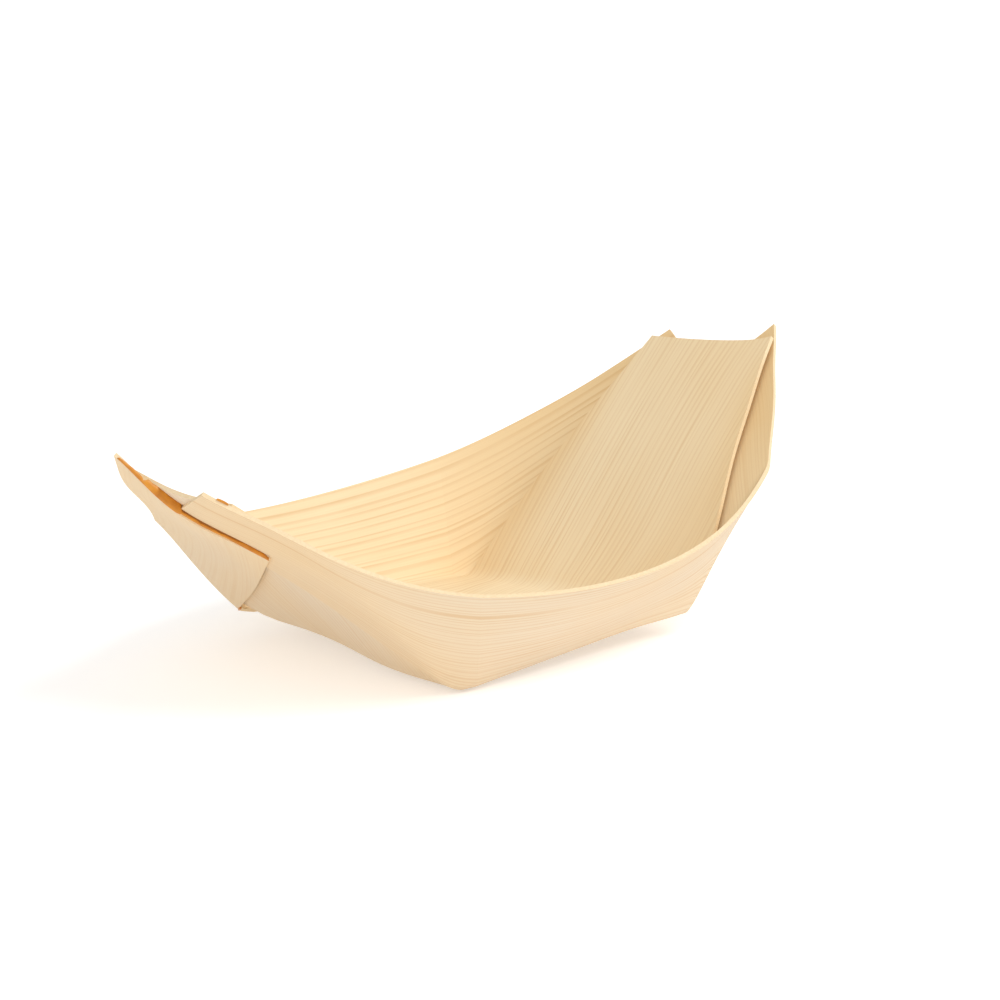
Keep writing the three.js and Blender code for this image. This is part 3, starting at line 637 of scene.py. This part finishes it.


# Sliced pine: pale, dry and matt, with fine straight ring lines along the grain, each dark on one side,
# fibres between them, warm patches and a warm drift of colour across the sheet. Its inner face is the warmer
# one, partly its own tone and partly painted warm bounce light. The walls grow warmer towards one end as
# painted light: the outer face to the left as painted shade on the end that turns away from the lamps, and
# the inner face to the right as painted warm bounce light in the right end.
def pine_veneer(name, earlywood, painted_light_drift, painted_light_end, front_lines, rear_lines):
    fold = bpy.context.scene.boat_fold
    finish = bpy.context.scene.boat_finish
    tree = new_material(name)
    sheet = node_in(tree, "ShaderNodeUVMap", uv_map="Blank")
    mm = fold.blank_length / MM
    grain = node_in(tree, "ShaderNodeMapping",
                    {"Vector": sheet, "Location": (-mm / 2, -mm / 2, 0), "Scale": (mm, mm, mm)})
    along, across = node_in(tree, "ShaderNodeSeparateXYZ", {"Vector": grain}).outputs[:2]
    # Noise on the sheet, with its features per millimetre along and across the grain. The fibres are
    # streaks some 15 mm long and a fifth of a millimetre wide.
    noise = {}
    for pattern, spread, detail, roughness in (
        ("wander", (0.012, 0.05, 1), 1, 0.5),
        ("strength", (0.06, 0.5, 1), 2, 0.5),
        ("fibre", (0.07, 4.5, 1), 4, 0.65),
        ("blush", (0.03, 0.06, 1), 2, 0.5),
    ):
        place = node_in(tree, "ShaderNodeMapping", {"Vector": grain, "Scale": spread})
        noise[pattern] = node_in(tree, "ShaderNodeTexNoise", {"Vector": place, "Scale": 1, "Detail": detail,
                                                              "Roughness": roughness})
    # The ring lines wander by half a millimetre over some 80 mm of grain.
    wander = node_in(tree, "ShaderNodeMath", {0: noise["wander"], 1: 2.5, 2: across},
                     operation="MULTIPLY_ADD")
    # The rings stand wider apart towards the rear edge of the sheet.
    rate = node_in(tree, "ShaderNodeMath", {0: wander, 1: -finish.ring_widening, 2: 1},
                   operation="MULTIPLY_ADD")
    spaced = node_in(tree, "ShaderNodeMath", {0: wander, 1: rate}, operation="MULTIPLY")
    years = node_in(tree, "ShaderNodeMath", {0: spaced, 1: MM / finish.ring_spacing}, operation="MULTIPLY")
    # Wide and narrow years
    season = node_in(tree, "ShaderNodeMath", {0: years, 1: 0.55}, operation="MULTIPLY")
    uneven = node_in(tree, "ShaderNodeTexNoise", {"W": season, "Scale": 1, "Detail": 1},
                     noise_dimensions="1D")
    shifted = node_in(tree, "ShaderNodeMath", {0: uneven, 1: 1.5, 2: years}, operation="MULTIPLY_ADD")
    ring = node_in(tree, "ShaderNodeMath", {0: shifted}, operation="FRACT")
    # In each ring the latewood comes up slowly and ends sharply.
    grows = node_in(tree, "ShaderNodeMapRange", {"Value": ring, "From Min": 0.4, "From Max": 0.85},
                    interpolation_type="SMOOTHSTEP")
    ends = node_in(tree, "ShaderNodeMapRange",
                   {"Value": ring, "From Min": 0.88, "From Max": 1, "To Min": 1, "To Max": 0},
                   interpolation_type="SMOOTHSTEP")
    late = node_in(tree, "ShaderNodeMath", {0: grows, 1: ends}, operation="MULTIPLY")
    strength = node_in(tree, "ShaderNodeMapRange",
                       {"Value": noise["strength"], "From Min": 0.3, "From Max": 0.7,
                        "To Min": 0.1, "To Max": 0.34})
    clearer = node_in(tree, "ShaderNodeMapRange",
                      {"Value": across, "From Min": -30, "From Max": 30,
                       "To Min": front_lines, "To Max": rear_lines})
    depth = node_in(tree, "ShaderNodeMath", {0: clearer, 1: strength}, operation="MULTIPLY")
    line = node_in(tree, "ShaderNodeMath", {0: late, 1: depth}, operation="MULTIPLY")
    # The painted light's warm drift leaves out the middle strip of the sheet, the floor and the tongues.
    off_middle = node_in(tree, "ShaderNodeMath", {0: across}, operation="ABSOLUTE")
    walls = node_in(tree, "ShaderNodeMapRange", {"Value": off_middle, "From Min": 8, "From Max": 14})
    # Painted light: warmer towards the left on the outer face for shade, towards the right on the inner face
    # for warm bounce light.
    painted_light_warmth = node_in(tree, "ShaderNodeMapRange",
                     {"Value": along, "From Min": 0.1 * painted_light_end, "From Max": painted_light_end, "To Max": painted_light_drift})
    painted_light_on_walls = node_in(tree, "ShaderNodeMath", {0: painted_light_warmth, 1: walls}, operation="MULTIPLY")
    patches = node_in(tree, "ShaderNodeMapRange",
                      {"Value": noise["blush"], "From Min": 0.35, "From Max": 0.7, "To Max": 0.4})
    blush = node_in(tree, "ShaderNodeMath", {0: patches, 1: painted_light_on_walls}, operation="ADD")
    pale = node_in(tree, "ShaderNodeMix", {"Factor": blush, "A": earlywood, "B": finish.blush},
                   data_type="RGBA")
    lined = node_in(tree, "ShaderNodeMix", {"Factor": line, "A": pale, "B": finish.latewood},
                    data_type="RGBA")
    streaks = node_in(tree, "ShaderNodeMapRange",
                      {"Value": noise["fibre"], "From Min": 0.35, "From Max": 0.75, "To Max": 0.16})
    wood = node_in(tree, "ShaderNodeMix", {"Factor": streaks, "A": lined, "B": finish.latewood},
                   data_type="RGBA")
    relief = node_in(tree, "ShaderNodeMath", {0: noise["fibre"], 1: 0.6, 2: line}, operation="MULTIPLY_ADD")
    bump = node_in(tree, "ShaderNodeBump", {"Height": relief, "Strength": 0.2, "Distance": 0.05 * MM})
    skin = node_in(tree, "ShaderNodeBsdfPrincipled", {"Base Color": wood, "Roughness": 0.72, "IOR": 1.5,
                                                      "Specular IOR Level": 0.3, "Normal": bump})
    node_in(tree, "ShaderNodeOutputMaterial", {"Surface": skin})


# Cut pine: the fresh edge of the sheet, paler than its faces, with fibre ends as fine specks.
def pine_edge():
    finish = bpy.context.scene.boat_finish
    tree = new_material("Cut pine edge")
    place = node_in(tree, "ShaderNodeTexCoord")
    speck = node_in(tree, "ShaderNodeTexNoise",
                    {"Vector": place.outputs["Object"], "Scale": 1 / (0.3 * MM), "Detail": 3})
    worn = node_in(tree, "ShaderNodeMapRange",
                   {"Value": speck, "From Min": 0.35, "From Max": 0.75, "To Max": 0.22})
    wood = node_in(tree, "ShaderNodeMix",
                   {"Factor": worn, "A": finish.cut_edge, "B": finish.latewood}, data_type="RGBA")
    bump = node_in(tree, "ShaderNodeBump", {"Height": speck, "Strength": 0.2, "Distance": 0.04 * MM})
    skin = node_in(tree, "ShaderNodeBsdfPrincipled", {"Base Color": wood, "Roughness": 0.8, "IOR": 1.5,
                                                      "Specular IOR Level": 0.25, "Normal": bump})
    node_in(tree, "ShaderNodeOutputMaterial", {"Surface": skin})


# Hot-melt glue: clear amber, smooth where it set in the air, a little cloudy inside.
def amber_glue():
    finish = bpy.context.scene.boat_finish
    tree = new_material("Amber hot glue")
    place = node_in(tree, "ShaderNodeTexCoord")
    cloud = node_in(tree, "ShaderNodeTexNoise",
                    {"Vector": place.outputs["Object"], "Scale": 1 / (1.8 * MM), "Detail": 3})
    tone = node_in(tree, "ShaderNodeMapRange", {"Value": cloud, "From Min": 0.35, "From Max": 0.65})
    amber = node_in(tree, "ShaderNodeMix",
                    {"Factor": tone, "A": finish.glue, "B": finish.glue_cloud}, data_type="RGBA")
    bump = node_in(tree, "ShaderNodeBump", {"Height": cloud, "Strength": 0.3, "Distance": 0.1 * MM})
    skin = node_in(tree, "ShaderNodeBsdfPrincipled",
                   {"Base Color": amber, "Roughness": 0.38, "IOR": 1.48, "Normal": bump})
    node_in(tree, "ShaderNodeOutputMaterial", {"Surface": skin})


# Brown glue line: the same glue seen deep in a gap, coloured brown as painted shade where little light comes
# back out.
def painted_shade_glue():
    tree = new_material("Glue line in painted gap shade")
    skin = node_in(tree, "ShaderNodeBsdfPrincipled",
                   {"Base Color": bpy.context.scene.boat_finish.glue_painted_shade, "Roughness": 0.45, "IOR": 1.48})
    node_in(tree, "ShaderNodeOutputMaterial", {"Surface": skin})


class SNACKBOAT_OT_finishes(bpy.types.Operator):
    """Mix the pine and glue materials"""
    bl_idname = "snackboat.finishes"
    bl_label = "Pine and Glue"

    def execute(self, context):
        finish = context.scene.boat_finish
        # The drifts are painted light: shade towards the left end on the outer face, warm bounce light
        # towards the right end on the inner face.
        pine_veneer("Sliced pine, outer face", finish.earlywood,
                    painted_light_drift=0.35, painted_light_end=-40, front_lines=1.5, rear_lines=0.3)
        # The inner face's paler, warmer earlywood is partly the wood's own tone and partly painted warm
        # bounce light.
        pine_veneer("Sliced pine, inner face", finish.inner_wood_and_bounce_light,
                    painted_light_drift=0.95, painted_light_end=45, front_lines=0.6, rear_lines=1.4)
        pine_edge()
        amber_glue()
        painted_shade_glue()
        return {"FINISHED"}


class SNACKBOAT_OT_floor(bpy.types.Operator):
    """Lay the floor panel"""
    bl_idname = "snackboat.floor"
    bl_label = "Floor"

    def execute(self, context):
        boat = FoldedBlank(context.scene.boat_fold)
        veneer_piece(boat, "floor_panel", 48, 72, lambda u, v: floor_point(boat, u, v), False, True)
        return {"FINISHED"}


class SNACKBOAT_OT_tongues(bpy.types.Operator):
    """Bend up the two end tongues"""
    bl_idname = "snackboat.tongues"
    bl_label = "End Tongues"

    def execute(self, context):
        fold = context.scene.boat_fold
        boat = FoldedBlank(fold)
        right = (fold.right_setback, fold.right_corner_rise, fold.right_corner_spread, 0)
        left = (fold.left_setback, fold.left_corner_rise, fold.left_corner_spread, fold.left_corner_ease)
        for side, shape in (("right", right), ("left", left)):
            veneer_piece(boat, side + "_end_tongue", 90, 60,
                         lambda u, v: tongue_point(boat, *shape, u, v), side == "left", True)
        return {"FINISHED"}


class SNACKBOAT_OT_side_walls(bpy.types.Operator):
    """Turn up the two side walls"""
    bl_idname = "snackboat.side_walls"
    bl_label = "Side Walls"

    def execute(self, context):
        boat = FoldedBlank(context.scene.boat_fold)
        for side in ("front", "rear"):
            veneer_piece(boat, side + "_side_wall", 110, 60,
                         lambda u, v: wall_point(boat, u, v), side == "rear", False)
        return {"FINISHED"}


class SNACKBOAT_OT_inner_wraps(bpy.types.Operator):
    """Bring the inner wraps round the tongues"""
    bl_idname = "snackboat.inner_wraps"
    bl_label = "Inner Wraps"

    def execute(self, context):
        boat = FoldedBlank(context.scene.boat_fold)
        for side in ("left", "right"):
            veneer_piece(boat, side + "_inner_wrap", 100, 60,
                         lambda u, v: inner_wrap_point(boat, u, v), side == "right", True)
        return {"FINISHED"}


class SNACKBOAT_OT_outer_wraps(bpy.types.Operator):
    """Fold the outer wraps over the inner ones"""
    bl_idname = "snackboat.outer_wraps"
    bl_label = "Outer Wraps"

    def execute(self, context):
        boat = FoldedBlank(context.scene.boat_fold)
        for side in ("right", "left"):
            veneer_piece(boat, side + "_outer_wrap", 100, 60,
                         lambda u, v: outer_wrap_point(boat, u, v), side == "left", False)
        return {"FINISHED"}


class SNACKBOAT_OT_glue(bpy.types.Operator):
    """Squeeze the glue out of the laps"""
    bl_idname = "snackboat.glue"
    bl_label = "Glue"

    def execute(self, context):
        boat = FoldedBlank(context.scene.boat_fold)
        for side in ("right", "left"):
            turned = side == "left"
            # The left seam's glue starts at the tip, and the left corner has the bigger spot.
            start, size = (0.02, 0.6) if turned else (0.26, 0.5)
            glue_piece(boat, side + "_seam_glue", turned,
                       (lambda t: seam_amber(boat, start, t), "Amber hot glue"),
                       # The second bead is painted shade: glue coloured brown in the gap behind the cut edge.
                       (lambda t: seam_painted_shade(boat, t), "Glue line in painted gap shade"))
            glue_piece(boat, side + "_slit_glue", turned, (lambda t: slit_spot(boat, t), "Amber hot glue"))
            glue_piece(boat, side + "_corner_glue", turned,
                       (lambda t: corner_spot(boat, size, t), "Amber hot glue"))
        return {"FINISHED"}


class SNACKBOAT_OT_stage(bpy.types.Operator):
    """Set the table, the lights and the camera"""
    bl_idname = "snackboat.stage"
    bl_label = "Stage"

    def execute(self, context):
        scene = context.scene
        scene.view_settings.view_transform = "Standard"
        self.table(scene)
        self.lights(scene)
        self.camera(scene)
        return {"FINISHED"}

    def table(self, scene):
        stage = scene.boat_stage
        bpy.ops.object.select_all(action="DESELECT")
        # A hair below the boat, so that the two faces don't lie in one plane.
        bpy.ops.mesh.primitive_circle_add(vertices=96, radius=4, fill_type="NGON", location=(0, 0, -0.2 * MM))
        table = bpy.context.object
        table.name = "table_top"
        tree = new_material("Pale matt table")
        seen = node_in(tree, "ShaderNodeLightPath").outputs
        mirrored = node_in(tree, "ShaderNodeMath", {0: seen["Is Glossy Ray"], 1: seen["Is Transmission Ray"]},
                           operation="MAXIMUM")
        plain = node_in(tree, "ShaderNodeMath", {0: seen["Is Camera Ray"], 1: mirrored}, operation="MAXIMUM")
        top = node_in(tree, "ShaderNodeBsdfPrincipled",
                      {"Base Color": stage.table, "Roughness": 0.9, "Specular IOR Level": 0.1})
        # The table gives off a little light, and a little more to the eye, which keeps the shadow soft.
        lift = node_in(tree, "ShaderNodeMath", {0: plain, 1: stage.table_seen_glow, 2: stage.table_glow},
                       operation="MULTIPLY_ADD")
        glow = node_in(tree, "ShaderNodeEmission", {"Strength": lift})
        both = node_in(tree, "ShaderNodeAddShader", {0: top, 1: glow})
        node_in(tree, "ShaderNodeOutputMaterial", {"Surface": both})
        table.data.materials.append(bpy.data.materials["Pale matt table"])

    def lights(self, scene):
        stage = scene.boat_stage
        world = bpy.data.worlds.new("Soft studio")
        world.use_nodes = True
        world.node_tree.nodes.clear()
        sky = node_in(world.node_tree, "ShaderNodeBackground", {"Color": (1, 1, 1, 1), "Strength": stage.sky})
        node_in(world.node_tree, "ShaderNodeOutputWorld", {"Surface": sky})
        scene.world = world
        self.area("key_light", (0.45, -0.75, 0.95), 0.8, stage.key_power)
        self.area("fill_light", (-0.8, -0.35, 0.8), 1.0, stage.fill_power)

    def area(self, name, place, size, watts):
        """A square lamp that points at the boat."""
        lamp = bpy.data.lights.new(name, "AREA")
        lamp.size = size
        lamp.energy = watts
        holder = bpy.data.objects.new(name, lamp)
        holder.location = place
        holder.rotation_euler = (-Vector(place)).to_track_quat("-Z", "Y").to_euler()
        bpy.context.scene.collection.objects.link(holder)

    def camera(self, scene):
        stage = scene.boat_stage
        turn, rise, roll = stage.camera_turn, stage.camera_rise, stage.camera_roll
        back = Vector((-math.sin(turn) * math.cos(rise), -math.cos(turn) * math.cos(rise), math.sin(rise)))
        level = Vector((math.cos(turn), -math.sin(turn), 0))
        upright = back.cross(level)
        right = level * math.cos(roll) + upright * math.sin(roll)
        up = upright * math.cos(roll) - level * math.sin(roll)
        lens = bpy.data.cameras.new("camera")
        lens.sensor_fit = "HORIZONTAL"
        lens.lens = stage.camera_focal * lens.sensor_width
        lens.clip_start = 0.01
        camera = bpy.data.objects.new("camera", lens)
        camera.matrix_world = Matrix.Translation(
            back * stage.camera_away + right * stage.aim_right + up * stage.aim_up
        ) @ Matrix((right, up, back)).transposed().to_4x4()
        scene.collection.objects.link(camera)
        scene.camera = camera


class SNACKBOAT_PT_panel(bpy.types.Panel):
    """The boat's settings and the steps that make it"""
    bl_idname = "SNACKBOAT_PT_panel"
    bl_label = "Snack Boat"
    bl_space_type = "VIEW_3D"
    bl_region_type = "UI"
    bl_category = "Snack Boat"

    def draw(self, context):
        for step in STEPS:
            self.layout.operator(step.bl_idname)
        for settings in (context.scene.boat_fold, context.scene.boat_finish, context.scene.boat_stage):
            box = self.layout.box()
            for name in settings.__annotations__:
                box.prop(settings, name)


STEPS = (
    SNACKBOAT_OT_finishes,
    SNACKBOAT_OT_floor,
    SNACKBOAT_OT_tongues,
    SNACKBOAT_OT_side_walls,
    SNACKBOAT_OT_inner_wraps,
    SNACKBOAT_OT_outer_wraps,
    SNACKBOAT_OT_glue,
    SNACKBOAT_OT_stage,
)
CLASSES = (SnackBoatFold, SnackBoatFinish, SnackBoatStage) + STEPS + (SNACKBOAT_PT_panel,)


def register():
    for cls in CLASSES:
        bpy.utils.register_class(cls)
    bpy.types.Scene.boat_fold = PointerProperty(type=SnackBoatFold)
    bpy.types.Scene.boat_finish = PointerProperty(type=SnackBoatFinish)
    bpy.types.Scene.boat_stage = PointerProperty(type=SnackBoatStage)


def unregister():
    del bpy.types.Scene.boat_stage
    del bpy.types.Scene.boat_finish
    del bpy.types.Scene.boat_fold
    for cls in reversed(CLASSES):
        bpy.utils.unregister_class(cls)


def main():
    register()
    bpy.ops.snackboat.finishes()
    bpy.ops.snackboat.floor()
    bpy.ops.snackboat.tongues()
    bpy.ops.snackboat.side_walls()
    bpy.ops.snackboat.inner_wraps()
    bpy.ops.snackboat.outer_wraps()
    bpy.ops.snackboat.glue()
    bpy.ops.snackboat.stage()


if __name__ == "__main__":
    main()
